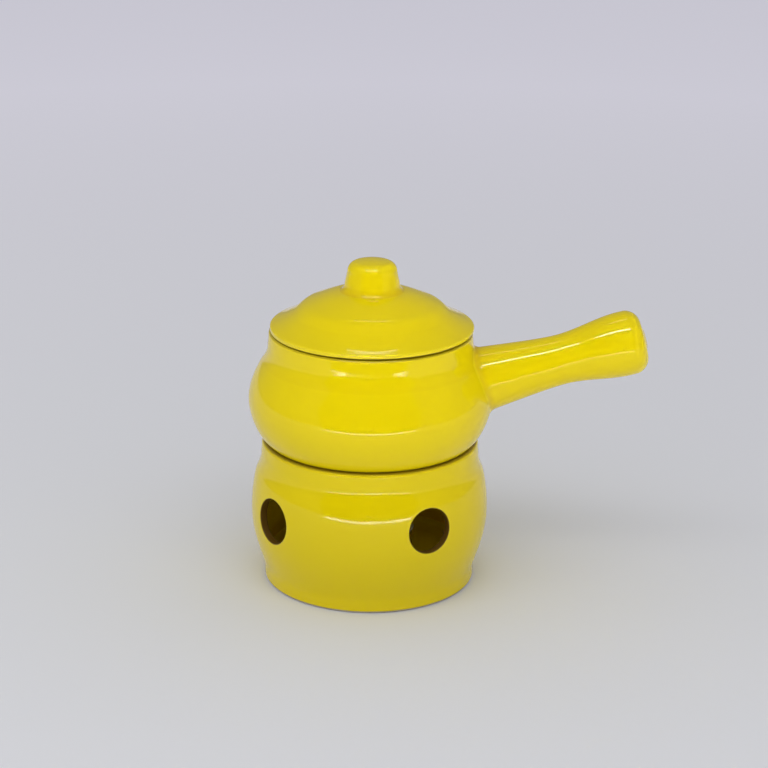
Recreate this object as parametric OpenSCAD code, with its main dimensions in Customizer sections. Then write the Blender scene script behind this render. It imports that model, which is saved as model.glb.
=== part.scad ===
// Individual fondue pot in glazed ceramic: a vented burner stand with a
// tealight in it, a round-bellied pot with one side handle, and a domed lid.
// The origin is the centre of the stand's foot. +Z is up, +X is along the handle.

/* [Stand] */
// Height of the stand, from the table to its rim
stand_h = 61.8; // [58:0.1:70]
// Radius of the straight foot band
foot_r = 44.8; // [43:0.1:46]
// Height of the straight foot band
foot_h = 5; // [4:0.1:7]
// Radius of the stand at its widest
bulge_r = 50.3; // [49:0.1:53]
// Height of the stand's widest ring
bulge_z = 30.7; // [28:0.1:34]
// Radius of the stand's short upright neck
neck_r = 46; // [45:0.1:47]
// Height of the upright neck
neck_h = 10; // [8:0.1:11]
// Thickness of the stand's wall
stand_wall = 3.5; // [3:0.1:4]
// Thickness of the stand's floor
stand_floor = 4; // [3:0.1:6]
// Width of the unglazed ring that the stand rests on
foot_ring_w = 5; // [4:0.1:8]
// Depth of the hollow inside that ring
foot_hollow = 1.5; // [1:0.1:2]

/* [Vents] */
// Diameter of each air vent
vent_d = 18.8; // [14:0.1:21]
// Places of the hand-cut vents round the stand, in degrees
vent_turns = [-59.5, -143.5, 121, 30]; // [-180:0.5:180]
// Heights of their centres
vent_heights = [36.4, 34.2, 35.2, 35.8]; // [33.5:0.1:37]

/* [Pot] */
// Height of the pot, from the stand's rim to the pot's own rim
pot_h = 46.9; // [45:0.1:50]
// How far the pot's shoulder laps over the stand's mouth
seat_lap = 1.2; // [0.9:0.1:1.4]
// Radius of the belly at its widest
belly_r = 51.1; // [49.5:0.1:53]
// Height of the belly's widest ring over the stand's rim
belly_z = 17.5; // [16:0.1:19]
// Radius of the pot's upright neck
pot_neck_r = 42.9; // [42.5:0.1:44]
// Height of the upright neck
pot_neck_h = 9.6; // [8.5:0.1:11]
// Thickness of the pot's wall and base
pot_wall = 3.5; // [3:0.1:4]
// How far the pot's foot ring drops inside the stand
pot_foot_drop = 5; // [4:0.1:7]
// Width of the pot's foot ring
pot_foot_w = 4; // [3:0.1:5]
// Depth of the hollow inside the pot's foot ring
pot_foot_hollow = 2; // [1:0.1:3]
// Gap between the pot's foot ring and the stand's mouth
pot_fit_gap = 1.2; // [0.8:0.1:2]

/* [Handle] */
// Distance from the pot's axis to the handle's end
handle_reach = 114.3; // [100:0.1:125]
// Angle of the handle above level, in degrees
handle_rise = 15.5; // [12:0.1:18]
// Height at which the handle's axis leaves the pot, over the stand's rim
handle_root_z = 27; // [25:0.1:28]
// Radius of the handle where it is luted to the pot
handle_root_r = 14; // [13:0.1:14.2]
// Radius of the waist
handle_waist_r = 10.5; // [9.5:0.1:12]
// Radius of the swelling near the end
handle_swell_r = 13.5; // [12.5:0.1:14.5]
// Rounding of the end
handle_end_e = 6.6; // [5:0.1:8]
// Thickness of the hollow handle's wall
handle_wall = 3.5; // [3:0.1:4.5]
// Diameter of the kiln vent in the handle's end
handle_vent_d = 4; // [3:0.1:6]

/* [Lid] */
// How far the lid's edge lies inside the pot's rim
lid_set_in = 0.1; // [0:0.1:1.2]
// Height of the lid's upright edge
lid_edge_h = 1.9; // [1.5:0.1:2.5]
// Height of the lid, from the pot's rim to the knob's seat
lid_h = 16.9; // [15:0.1:19]
// Width of the lid's brim
brim_w = 8.8; // [7.5:0.1:10]
// Height of the brim's inner edge over the pot's rim
brim_h = 7.1; // [6.6:0.1:8]
// Thickness of the lid
lid_wall = 3.5; // [3:0.1:4]
// How far the lid's locating ring drops into the pot
lid_ring_drop = 4; // [3:0.1:6]
// Width of the locating ring
lid_ring_w = 3; // [2.5:0.1:4]
// Gap between the locating ring and the pot's mouth
lid_fit_gap = 1; // [0.6:0.1:1.6]

/* [Knob] */
// Height of the knob
knob_h = 13.1; // [11:0.1:17]
// Radius of the knob at its base
knob_base_r = 11.3; // [10:0.1:12]
// Radius of the knob under its rounded top
knob_top_r = 9.9; // [8.5:0.1:11]
// Rounding of the knob's top edge
knob_top_e = 3.1; // [2:0.1:4]

/* [Tealight] */
// Diameter of the tealight's cup
tealight_d = 38; // [36:0.1:40]
// Height of the cup
tealight_h = 16; // [12:0.1:18]
// Thickness of the cup's metal
tealight_wall = 0.4; // [0.3:0.05:0.6]
// How far the wax lies below the cup's edge
wax_drop = 1.5; // [1:0.1:4]
// Diameter of the wick
wick_d = 1.6; // [1.2:0.1:2.4]
// How far the wick stands out of the wax
wick_out = 7; // [4:0.1:9]
// Diameter of the wick's metal foot
tab_d = 13; // [10:0.1:16]
// Thickness of that metal foot
tab_t = 0.5; // [0.4:0.05:0.8]
// Height of the collar that grips the wick
collar_h = 3; // [2:0.1:5]
// Thickness of the collar
collar_wall = 0.4; // [0.3:0.05:0.8]

/* [Hidden] */
// Rounded edges of the ceramic
foot_edge_e = 1.6;
stand_rim_e = 2;
rim_outer_e = 1.2;
rim_inner_e = 0.7;
ring_edge_e = 0.8;
lid_edge_e = 0.7;
// Straight run of each curve's end before it bends, as a part of its rise
foot_ease_share = 0.15;
bulge_low_ease_share = 0.51;
bulge_high_ease_share = 0.46;
neck_ease_share = 0.21;
// Outward lean of the neck's foot, as a part of the step from bulge to neck
neck_lean_share = 0.54;
// Draw of the stand's rim inside its neck
rim_draw = 0.3;
// Fillet between the stand's floor and wall
stand_fillet = 5;
// The belly's curve: reach of each handle, as a part of the rise it spans
belly_seat_ease_share = 0.22;
belly_seat_lift_share = 0.14;
belly_low_ease_share = 0.4;
belly_high_ease_share = 0.4;
pot_neck_ease_share = 0.19;
pot_neck_lean_share = 0.32;
// How far the soft crease under a neck reaches, as a part of the curve's end
crease_share = 0.92;
// Draw of the pot's rim inside its neck
pot_rim_draw = 0.4;
// Width of the curve between the pot's floor and its belly
pot_floor_bend = 8;
// Places of the handle's waist and swelling, as parts of its length
handle_waist_share = 0.446;
handle_swell_share = 0.86;
// Start of the handle's flare inside the pot's outline
handle_root_in = 14;
// Fall of the flare on each side of the root, as a part of root less waist
handle_flare_share = 0.15;
// Crown of the handle's end face
handle_crown = 0.7;
// Steepness of the lid's brim and dome, as rise over run
brim_slope_share = 0.68;
dome_slope_share = 0.41;
// Places of the dome's shoulder, as parts of the step's radius and the height
dome_r_share = 0.79;
dome_z_share = 0.73;
// Flare at the knob's base
knob_flare = 2.3;
knob_flare_h = 3.4;
// Small rounding of the tealight cup's base
cup_base_e = 1;
// Overrun of every cut
overrun = 1;

curve_steps = 10;
arc_steps = 6;
round_fn = 96;
glaze = [0.93, 0.82, 0.04];
metal = [0.78, 0.79, 0.80];
wax_white = [0.95, 0.94, 0.90];
cotton = [0.90, 0.88, 0.80];

foot_top = foot_hollow + stand_floor;
stand_neck_z = stand_h - neck_h;
stand_rim_r = neck_r - rim_draw;
stand_mouth_r = stand_rim_r - stand_wall;
pot_seat_r = stand_mouth_r + seat_lap;
pot_foot_r = stand_mouth_r - pot_fit_gap;
pot_foot_z = stand_h - pot_foot_drop;
pot_floor_z = pot_foot_z + pot_foot_hollow + pot_wall;
pot_rim_z = stand_h + pot_h;
pot_neck_z = pot_rim_z - pot_neck_h;
pot_belly_z = stand_h + belly_z;
pot_rim_r = pot_neck_r - pot_rim_draw;
pot_mouth_r = pot_rim_r - pot_wall;
handle_root_x = belly_r;
handle_len = (handle_reach - handle_root_x) / cos(handle_rise);
lid_r = pot_rim_r - lid_set_in;
lid_step_r = lid_r - brim_w;
lid_ring_r = pot_mouth_r - lid_fit_gap;
lid_ring_in_r = lid_ring_r - lid_ring_w;
lid_under_drop = lid_wall * norm([1, brim_slope_share]);
knob_z = pot_rim_z + lid_h;
wax_z = foot_top + tealight_h - wax_drop;
cup_in_r = tealight_d / 2 - tealight_wall;
cup_floor_z = foot_top + tealight_wall;

// Points of one smooth curve from a to d, drawn towards b and c
function curve(a, b, c, d) = [
    for (i = [0:curve_steps])
        let (t = i / curve_steps, s = 1 - t)
            s * s * s * a + 3 * s * s * t * b + 3 * s * t * t * c + t * t * t * d
];

// Points of an arc about a centre
function arc(centre, r, from, to) = [
    for (i = [0:arc_steps])
        let (turn = from + (to - from) * i / arc_steps)
            centre + r * [cos(turn), sin(turn)]
];

// A line moved to its left by a thickness
function inset(line, t) = [
    for (i = [0:len(line) - 1])
        let (
            ahead = line[min(i + 1, len(line) - 1)],
            behind = line[max(i - 1, 0)],
            run = ahead - behind
        )
            line[i] + t * [-run.y, run.x] / norm(run)
];

function reversed(line) = [for (i = [len(line) - 1:-1:0]) line[i]];

// A belly's upper side: from its widest ring in to an upright neck, with a
// soft crease where the two meet
function shoulder_side(wide, neck, high_share, lean_share, ease_share) =
    let (
        lean = [lean_share * (wide.x - neck.x), -ease_share * (neck.y - wide.y)],
        start = neck + crease_share * lean,
        end = neck + [0, crease_share * norm(lean)]
    )
    concat(
        curve(wide, wide + [0, high_share * (neck.y - wide.y)], neck + lean, start),
        curve(start, (start + 2 * neck) / 3, (end + 2 * neck) / 3, end)
    );

// Outside of the stand, from the foot band up to the neck
function stand_side() = concat(
    curve(
        [foot_r, foot_h],
        [foot_r, foot_h + foot_ease_share * (bulge_z - foot_h)],
        [bulge_r, bulge_z - bulge_low_ease_share * (bulge_z - foot_h)],
        [bulge_r, bulge_z]
    ),
    shoulder_side(
        [bulge_r, bulge_z], [neck_r, stand_neck_z],
        bulge_high_ease_share, neck_lean_share, neck_ease_share
    )
);

module burner_stand_solid() {
    outside = concat(
        arc([foot_r - foot_edge_e, foot_edge_e], foot_edge_e, -90, 0),
        stand_side(),
        arc([stand_rim_r - stand_rim_e, stand_h - stand_rim_e], stand_rim_e, 0, 90)
    );
    fillet_z = foot_top + stand_fillet;
    wall_r = lookup(fillet_z, [for (p = stand_side()) [p.y, p.x]]) - stand_wall;
    inside = concat(
        arc([wall_r - stand_fillet, fillet_z], stand_fillet, -90, 0),
        [for (p = stand_side()) if (p.y > fillet_z) p - [stand_wall, 0]],
        arc([stand_mouth_r + rim_inner_e, stand_h - rim_inner_e], rim_inner_e, 180, 90)
    );
    ring_in_r = foot_r - foot_ring_w;
    under = concat(
        [[0, foot_hollow], [ring_in_r, foot_hollow]],
        arc([ring_in_r + ring_edge_e, ring_edge_e], ring_edge_e, 180, 270)
    );
    rotate_extrude($fn = round_fn)
        polygon(concat(under, outside, reversed(inside), [[0, foot_top]]));
}

module vent_cut(turn, height) {
    rotate([0, 0, turn])
        translate([foot_r / 2, 0, height])
            rotate([0, 90, 0])
                cylinder(d = vent_d, h = bulge_r, $fn = round_fn);
}

module burner_stand() {
    color(glaze)
        difference() {
            burner_stand_solid();
            for (i = [0:len(vent_turns) - 1])
                vent_cut(vent_turns[i], vent_heights[i]);
        }
}

// Outside of the pot, from the stand's rim up to the neck
function pot_side() = concat(
    curve(
        [pot_seat_r, stand_h],
        [pot_seat_r + belly_seat_ease_share * belly_z, stand_h + belly_seat_lift_share * belly_z],
        [belly_r, pot_belly_z - belly_low_ease_share * belly_z],
        [belly_r, pot_belly_z]
    ),
    shoulder_side(
        [belly_r, pot_belly_z], [pot_neck_r, pot_neck_z],
        belly_high_ease_share, pot_neck_lean_share, pot_neck_ease_share
    )
);

function pot_rim_outside() = arc(
    [pot_rim_r - rim_outer_e, pot_rim_z - rim_outer_e], rim_outer_e, 0, 90
);

// The pot filled in, to cut what is luted on to it
module pot_outline_solid() {
    rotate_extrude($fn = round_fn)
        polygon(concat(
            [[0, stand_h]], pot_side(), pot_rim_outside(), [[0, pot_rim_z]]
        ));
}

module pot_bowl() {
    belly_inside = inset(pot_side(), pot_wall);
    first = belly_inside[1];
    lead = belly_inside[2] - belly_inside[1];
    floor_edge = [first.x - pot_floor_bend, pot_floor_z];
    inside = concat(
        curve(
            floor_edge,
            floor_edge + [pot_floor_bend / 2, 0],
            first - pot_floor_bend / 3 * lead / norm(lead),
            first
        ),
        [for (i = [2:len(belly_inside) - 1]) belly_inside[i]],
        arc([pot_mouth_r + rim_inner_e, pot_rim_z - rim_inner_e], rim_inner_e, 180, 90)
    );
    foot_in_r = pot_foot_r - pot_foot_w;
    under = concat(
        [[0, pot_foot_z + pot_foot_hollow], [foot_in_r, pot_foot_z + pot_foot_hollow]],
        arc([foot_in_r + ring_edge_e, pot_foot_z + ring_edge_e], ring_edge_e, 180, 270),
        arc([pot_foot_r - ring_edge_e, pot_foot_z + ring_edge_e], ring_edge_e, -90, 0),
        [[pot_foot_r, stand_h]]
    );
    color(glaze)
        rotate_extrude($fn = round_fn)
            polygon(concat(
                under, pot_side(), pot_rim_outside(), reversed(inside), [[0, pot_floor_z]]
            ));
}

// Outside of the handle along its own axis, as [along, out]
function handle_side() =
    let (
        waist = handle_waist_share * handle_len,
        swell = handle_swell_share * handle_len,
        fall = handle_flare_share * (handle_root_r - handle_waist_r)
    )
    concat(
        curve(
            [-handle_root_in, handle_root_r + fall],
            [0, handle_root_r - fall],
            [waist * 2 / 3, handle_waist_r],
            [waist, handle_waist_r]
        ),
        curve(
            [waist, handle_waist_r],
            [waist + (swell - waist) / 3, handle_waist_r],
            [swell - (swell - waist) / 3, handle_swell_r],
            [swell, handle_swell_r]
        )
    );

module along_handle() {
    translate([handle_root_x, 0, stand_h + handle_root_z])
        rotate([0, 90 - handle_rise, 0])
            children();
}

module handle_turned(side, end_r, end_along) {
    rotate_extrude($fn = round_fn)
        polygon(concat(
            [[0, side[0].x]],
            [for (p = side) [p.y, p.x]],
            arc([end_r - handle_end_e, end_along - handle_end_e], handle_end_e, 0, 90),
            [[0, end_along + handle_crown]]
        ));
}

module pot_handle() {
    outside = handle_side();
    color(glaze)
        difference() {
            along_handle()
                difference() {
                    handle_turned(outside, handle_swell_r, handle_len - handle_crown);
                    handle_hollow(outside);
                    cylinder(d = handle_vent_d, h = handle_len + overrun, $fn = round_fn);
                }
            pot_outline_solid();
        }
}

// The hollow inside the handle, closed at its end and open to the pot's wall
module handle_hollow(outside) {
    inside = [for (p = outside) [p.x, p.y - handle_wall]];
    last = inside[len(inside) - 1];
    end_along = handle_len - handle_crown - handle_end_e;
    rotate_extrude($fn = round_fn)
        polygon(concat(
            [[0, inside[0].x - overrun]],
            [[inside[0].y, inside[0].x - overrun]],
            [for (p = inside) [p.y, p.x]],
            arc([last.y + handle_wall - handle_end_e, end_along], handle_end_e - handle_wall, 0, 90),
            [[0, end_along + handle_end_e - handle_wall]]
        ));
}

// Top of the lid, from its upright edge in to the knob's seat
function lid_top() =
    let (
        edge = [lid_r, pot_rim_z + lid_edge_h],
        step = [lid_step_r, pot_rim_z + brim_h],
        shoulder = [dome_r_share * lid_step_r, pot_rim_z + dome_z_share * lid_h],
        seat = [knob_base_r + knob_flare, knob_z],
        step_run = lid_step_r - shoulder.x,
        dome_run = shoulder.x - seat.x
    )
    concat(
        curve(
            edge,
            edge + [0, lid_edge_h / 2],
            step + brim_w * 3 / 4 * [1, -brim_slope_share],
            step
        ),
        curve(
            step,
            step - step_run / 3 * [1, -brim_slope_share],
            shoulder + step_run / 2 * [1, -dome_slope_share],
            shoulder
        ),
        curve(
            shoulder,
            shoulder - dome_run / 3 * [1, -dome_slope_share],
            seat + dome_run / 3 * [1, -dome_slope_share / 2],
            seat
        )
    );

// The lid's underside follows its top, set down by the brim's thickness
module lid_dome() {
    under_all = [for (p = lid_top()) p - [0, lid_under_drop]];
    under_edge = [lid_ring_in_r, lookup(lid_ring_in_r, under_all)];
    under = concat([under_edge], [for (p = under_all) if (p.x < lid_ring_in_r) p]);
    ring_z = pot_rim_z - lid_ring_drop;
    ring = concat(
        arc([lid_ring_in_r + ring_edge_e, ring_z + ring_edge_e], ring_edge_e, 180, 270),
        arc([lid_ring_r - ring_edge_e, ring_z + ring_edge_e], ring_edge_e, -90, 0),
        [[lid_ring_r, pot_rim_z]]
    );
    color(glaze)
        rotate_extrude($fn = round_fn)
            polygon(concat(
                [[0, knob_z - lid_under_drop]],
                reversed(under),
                ring,
                arc([lid_r - lid_edge_e, pot_rim_z + lid_edge_e], lid_edge_e, -90, 0),
                lid_top(),
                [[0, knob_z]]
            ));
}

module lid_knob() {
    top_z = knob_z + knob_h;
    side = concat(
        curve(
            [knob_base_r + knob_flare, knob_z],
            [knob_base_r + knob_flare / 3, knob_z],
            [knob_base_r, knob_z + knob_flare_h / 2],
            [knob_base_r, knob_z + knob_flare_h]
        ),
        arc([knob_top_r - knob_top_e, top_z - knob_top_e], knob_top_e, 0, 90)
    );
    color(glaze)
        rotate_extrude($fn = round_fn)
            polygon(concat([[0, knob_z]], side, [[0, top_z]]));
}

module tealight_cup() {
    cup_r = tealight_d / 2;
    color(metal)
        difference() {
            union() {
                translate([0, 0, foot_top + cup_base_e])
                    cylinder(r = cup_r, h = tealight_h - cup_base_e, $fn = round_fn);
                translate([0, 0, foot_top])
                    cylinder(r1 = cup_r - cup_base_e, r2 = cup_r, h = cup_base_e, $fn = round_fn);
            }
            translate([0, 0, cup_floor_z + cup_base_e])
                cylinder(r = cup_in_r, h = tealight_h, $fn = round_fn);
            translate([0, 0, cup_floor_z])
                cylinder(r1 = cup_in_r - cup_base_e, r2 = cup_in_r, h = cup_base_e, $fn = round_fn);
        }
}

module wick_solid() {
    translate([0, 0, cup_floor_z + tab_t])
        cylinder(d = wick_d, h = wax_z + wick_out - cup_floor_z - tab_t, $fn = round_fn);
}

// The wick's foot: a disc and a collar, filled in where the wick stands
module tab_solid() {
    translate([0, 0, cup_floor_z])
        cylinder(d = tab_d, h = tab_t, $fn = round_fn);
    translate([0, 0, cup_floor_z])
        cylinder(d = wick_d + 2 * collar_wall, h = tab_t + collar_h, $fn = round_fn);
}

module tealight_wax() {
    color(wax_white)
        difference() {
            union() {
                translate([0, 0, cup_floor_z + cup_base_e])
                    cylinder(r = cup_in_r, h = wax_z - cup_floor_z - cup_base_e, $fn = round_fn);
                translate([0, 0, cup_floor_z])
                    cylinder(r1 = cup_in_r - cup_base_e, r2 = cup_in_r, h = cup_base_e, $fn = round_fn);
            }
            wick_solid();
            tab_solid();
        }
}

module tealight_wick() {
    color(cotton)
        wick_solid();
}

module wick_tab() {
    color(metal)
        difference() {
            tab_solid();
            wick_solid();
        }
}

burner_stand();
pot_bowl();
pot_handle();
lid_dome();
lid_knob();
tealight_cup();
tealight_wax();
tealight_wick();
wick_tab();
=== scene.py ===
import math
from math import cos, pi, radians, sin

import bmesh
import bpy
import numpy as np
from mathutils import Matrix


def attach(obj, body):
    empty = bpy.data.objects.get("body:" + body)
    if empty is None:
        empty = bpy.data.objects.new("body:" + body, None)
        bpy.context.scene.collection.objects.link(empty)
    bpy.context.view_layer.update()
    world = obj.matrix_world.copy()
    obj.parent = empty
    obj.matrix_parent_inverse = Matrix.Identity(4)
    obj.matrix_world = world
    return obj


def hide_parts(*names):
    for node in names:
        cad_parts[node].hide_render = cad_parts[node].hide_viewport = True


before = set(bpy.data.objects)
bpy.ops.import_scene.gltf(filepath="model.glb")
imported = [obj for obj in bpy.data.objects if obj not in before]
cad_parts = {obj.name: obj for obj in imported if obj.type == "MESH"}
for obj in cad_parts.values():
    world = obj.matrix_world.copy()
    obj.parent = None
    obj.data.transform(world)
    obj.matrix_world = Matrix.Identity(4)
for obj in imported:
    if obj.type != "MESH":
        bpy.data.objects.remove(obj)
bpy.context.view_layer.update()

MM = 0.001

# Stand
STAND_H, FOOT_R, FOOT_H = 61.8, 44.8, 5.0
BULGE_R, BULGE_Z = 50.3, 30.7
NECK_R, NECK_H, RIM_DRAW = 46.0, 10.0, 0.3
STAND_WALL, STAND_FLOOR, STAND_FILLET = 3.5, 4.0, 5.0
FOOT_RING_W, FOOT_HOLLOW, FOOT_EDGE = 5.0, 1.5, 1.6
# Pulls on its side's curves, as shares of their rise or run
BULGE_START, BULGE_LOW, BULGE_HIGH, STAND_LEAN, STAND_EASE = 0.15, 0.51, 0.46, 0.54, 0.21
# Each hand-cut vent: its place round the stand in degrees, its height and its diameter
VENTS = [(-59.5, 36.4, 18.8), (-143.5, 34.2, 19.0), (121.0, 35.2, 18.8), (30.0, 35.8, 18.8)]
VENT_EDGE, VENT_INNER_EDGE = 0.6, 0.5
# How far a vent's cut strays from round, as shares of its size
VENT_OVAL, VENT_LOBES = 0.008, 0.006
# Patch of the mesh that takes a vent: half its width in degrees, its middle, half its height, its cells
VENT_PATCH_TURN, VENT_PATCH_Z, VENT_PATCH_H, VENT_CELLS = 15.5, 35.3, 13.0, 16
# Shares of the way from the patch's edge to the vent's at which rings of points lie
VENT_SPREAD = (0.25, 0.5, 0.72, 0.88)
PLAIN_COLUMN_TURN = 1.95

# Pot
POT_H, SEAT_LAP = 46.9, 1.2
BELLY_R, BELLY_RISE = 51.1, 17.5
POT_NECK_R, POT_NECK_H, POT_RIM_DRAW = 42.9, 9.6, 0.4
POT_WALL, POT_FOOT_DROP, POT_FOOT_W = 3.5, 5.0, 4.0
POT_FOOT_HOLLOW, POT_FIT_GAP, POT_FLOOR_BEND, POT_FLOOR_EASE = 2.0, 1.2, 8.0, 2.2
BELLY_START_OUT, BELLY_START_UP, BELLY_LOW, BELLY_HIGH = 0.22, 0.14, 0.4, 0.4
POT_LEAN, POT_EASE, POT_SEAT_E = 0.32, 0.19, 0.5

# Handle
HANDLE_REACH, HANDLE_RISE, HANDLE_ROOT_RISE = 114.3, 15.5, 27.0
HANDLE_ROOT_R, HANDLE_WAIST_R, HANDLE_SWELL_R = 14.0, 10.5, 13.5
HANDLE_END_E, HANDLE_WALL, HANDLE_CROWN = 6.6, 3.5, 0.7
HANDLE_WAIST, HANDLE_SWELL, HANDLE_FLARE = 0.446, 0.86, 0.15
HANDLE_ROOT_IN, KILN_VENT_D, KILN_VENT_EDGE, KILN_VENT_SINK = 14.0, 4.0, 0.6, 0.05
HANDLE_END_PULL = 2.0
LUTE_ON_HANDLE, LUTE_ON_POT, LUTE_SINK = 3.0, 2.6, 0.5
# How far along the handle its rings no longer follow the line where it meets the pot
HANDLE_PLAIN_FROM = 11.0

# Lid and knob
LID_SET_IN, LID_EDGE_H, LID_H = 0.1, 1.9, 16.9
BRIM_W, BRIM_H, BRIM_SLOPE, BRIM_PULL = 8.8, 7.1, 0.68, 0.75
DOME_SLOPE, DOME_R, DOME_Z = 0.41, 0.79, 0.73
LID_WALL, LID_RING_DROP, LID_RING_W, LID_FIT_GAP = 3.5, 4.0, 3.0, 1.0
LID_RING_FILLET, LID_RING_CORNER, LID_RIM_FROM, LID_RIM_RUN = 0.6, 0.3, 0.4, 2
# How far the loose lid's edge stands off the pot's rim, how much more or less to each side, and which way
LID_OFF, LID_OFF_TILT, LID_OFF_TURN = 0.44, 0.38, 0.4
KNOB_H, KNOB_BASE_R, KNOB_TOP_R, KNOB_TOP_E, KNOB_CROWN = 13.1, 11.5, 10.35, 4.2, 0.5
KNOB_FLARE, KNOB_FLARE_H, KNOB_FLARE_OUT, KNOB_FLARE_PULL = 2.3, 3.4, 0.5, 0.35
KNOB_SINK, KNOB_EDGE_SINK, KNOB_LIP_SINK, KNOB_LIP_RISE = 0.6, 0.4, 0.15, 0.1
KNOB_WAIST_IN, KNOB_WAIST_UP, KNOB_SHOULDER_TURN, KNOB_CROWN_PULL = 0.12, 0.2, 82, 3
# How far the loose lid and its hand-set knob sit off the pot's axis, towards the handle
LID_ASIDE, KNOB_ASIDE = 0.5, 0.4

# Edges of the ceramic
STAND_RIM_E, RIM_OUTER_E, RIM_INNER_E, RING_EDGE_E, LID_EDGE_E = 2.0, 1.2, 0.7, 0.8, 0.7
CREASE = 0.92
SIDE_STEPS, CREASE_STEPS, LID_STEPS = 120, 40, 20
# How far from round a thrown form is, as a share of its size, and the rise that shifts this by a radian
OUT_OF_ROUND, OVAL_TURN_H = 0.0016, 45
# How sharp a bend thins the glaze on an edge, or pools it in a hollow
EDGE_GAIN, EDGE_START, HOLLOW_GAIN, HOLLOW_START = 1.1, 0.12, 2.2, 0.1
# Columns of the turned meshes
POT_COLUMNS, HANDLE_COLUMNS, KNOB_COLUMNS = 192, 96, 96
CUP_COLUMNS, WAX_COLUMNS, STRAND_COLUMNS, TAB_COLUMNS = 288, 128, 10, 64
# Painted shade, as brown lines where the parts meet at the seat, the rims and the foot, and in the vents:
# how far each reaches, how softly it ends, and how brown it is
SEAM_H, SEAM_FADE, SEAM_BELOW, SEAM_BELOW_FADE, SEAM_SHARE = 0.95, 0.7, 1.2, 0.5, 0.8
RIM_SEAM_H, RIM_SEAM_FADE, RIM_SEAM_SHARE, LID_SEAM_H, LID_SEAM_FADE = 0.75, 0.3, 0.4, 0.5, 0.35
FOOT_SEAM_H, FOOT_SEAM_FADE, BORE_SEAM_OUT, BORE_SEAM_FADE = 1.2, 0.4, 0.45, 0.3

# Tealight
CUP_D, CUP_H, CUP_WALL, CUP_BASE_E = 38.0, 16.0, 0.4, 1.0
CUP_BEAD_R, CUP_SIDE_IN = 0.45, 0.4
# Its dished base: how high, and where its curve runs, as shares of the cup's radius
CUP_DISH_H, CUP_DISH = 0.35, (0.62, 0.66, 0.68, 0.73)
# Its flutes: how many and how deep, how softly they end, and how far from its base and from its top
CUP_FLUTES, CUP_FLUTE_DEPTH, CUP_FLUTE_FADE, CUP_FLUTE_FROM, CUP_FLUTE_TO = 48, 0.16, 1.2, 2.0, 2.2
WAX_DROP, WAX_GAP, WAX_CORNER, WAX_SUNK, WAX_WETTING = 1.5, 0.42, 1.2, 0.5, 0.25
WAX_RISE_W, WAX_WICK_RISE_W, WAX_WICK_RISE = 3.2, 1.6, 0.3
WICK_D, WICK_OUT, WICK_PITCH, WICK_LEAN = 1.6, 7.0, 6.5, (0.28, -0.2)
STRAND, STRAND_TAPER, STRAND_LUMP, STRAND_LUMPS = 0.23, 0.55, 0.1, 260
TAB_D, TAB_T, COLLAR_H, COLLAR_WALL, COLLAR_PINCH = 13.0, 0.5, 3.0, 0.4, 0.07

FOOT_TOP = FOOT_HOLLOW + STAND_FLOOR
STAND_RIM_R = NECK_R - RIM_DRAW
STAND_MOUTH_R = STAND_RIM_R - STAND_WALL
POT_SEAT_R = STAND_MOUTH_R + SEAT_LAP
POT_FOOT_R = STAND_MOUTH_R - POT_FIT_GAP
POT_FOOT_Z = STAND_H - POT_FOOT_DROP
POT_FLOOR_Z = POT_FOOT_Z + POT_FOOT_HOLLOW + POT_WALL
POT_RIM_Z = STAND_H + POT_H
POT_NECK_Z = POT_RIM_Z - POT_NECK_H
POT_RIM_R = POT_NECK_R - POT_RIM_DRAW
POT_MOUTH_R = POT_RIM_R - POT_WALL
HANDLE_LEN = (HANDLE_REACH - BELLY_R) / cos(radians(HANDLE_RISE))
WAIST_AT, SWELL_AT = HANDLE_WAIST * HANDLE_LEN, HANDLE_SWELL * HANDLE_LEN
LID_R = POT_RIM_R - LID_SET_IN
LID_STEP_R = LID_R - BRIM_W
LID_RING_R = POT_MOUTH_R - LID_FIT_GAP
LID_RING_IN_R = LID_RING_R - LID_RING_W
KNOB_Z = POT_RIM_Z + LID_H
CUP_FLOOR_Z = FOOT_TOP + CUP_WALL
CUP_IN_R = CUP_D / 2 - CUP_WALL
WAX_Z = FOOT_TOP + CUP_H - WAX_DROP
# Where the wax and the wick start, just over the wick's foot
WAX_LOW_Z = CUP_FLOOR_Z + TAB_T + 0.1

# Colours of the finishes and the studio, linear
YELLOW = (0.83, 0.652, 0.002)
YELLOW_THIN = (0.86, 0.69, 0.012)
YELLOW_POOLED = (0.70, 0.49, 0.0015)
PINHOLE_BROWN = (0.1, 0.06, 0.02)
BARE_CLAY = (0.62, 0.55, 0.44)
# Brown of the painted shade in the gaps between parts, at the foot and in the vents
SHADE_BROWN = (0.13, 0.065, 0.004)
FLOOR, FLOOR_CLOUD = (0.81, 0.822, 0.865), (0.6, 0.6, 0.66)
BACKDROP, FAR_GLOW = (0.60, 0.59, 0.65), (0.06, 0.05, 0.12)
BLACK, WHITE = (0, 0, 0), (1, 1, 1)

# Camera: where the photograph was taken from, its turns in radians
CAMERA_PLACE = (7.788, -844.8, 374.3)
CAMERA_PITCH_YAW_ROLL = (0.33007, -0.002488, 0.010617)
FOCAL_PX, FRAME_PX, SENSOR_MM = 2132.0, 768.0, 36.0


def mix3(a, b, share):
    return tuple(p + (q - p) * share for p, q in zip(a, b))


def ramp(value, start, run):
    """0 at the start and 1 at the end of the run. A run below zero goes down from the start."""
    return np.clip((value - start) / run, 0, 1)


# Scene


def add_object(name, data, material=None):
    if material:
        data.materials.append(material)
    made = bpy.data.objects.new(name, data)
    bpy.context.scene.collection.objects.link(made)
    return made


def stand_at(thing, place_mm, right, up, back):
    turn = Matrix(np.column_stack([right, up, back]).tolist()).to_4x4()
    thing.matrix_world = Matrix.Translation([v * MM for v in place_mm]) @ turn


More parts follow.
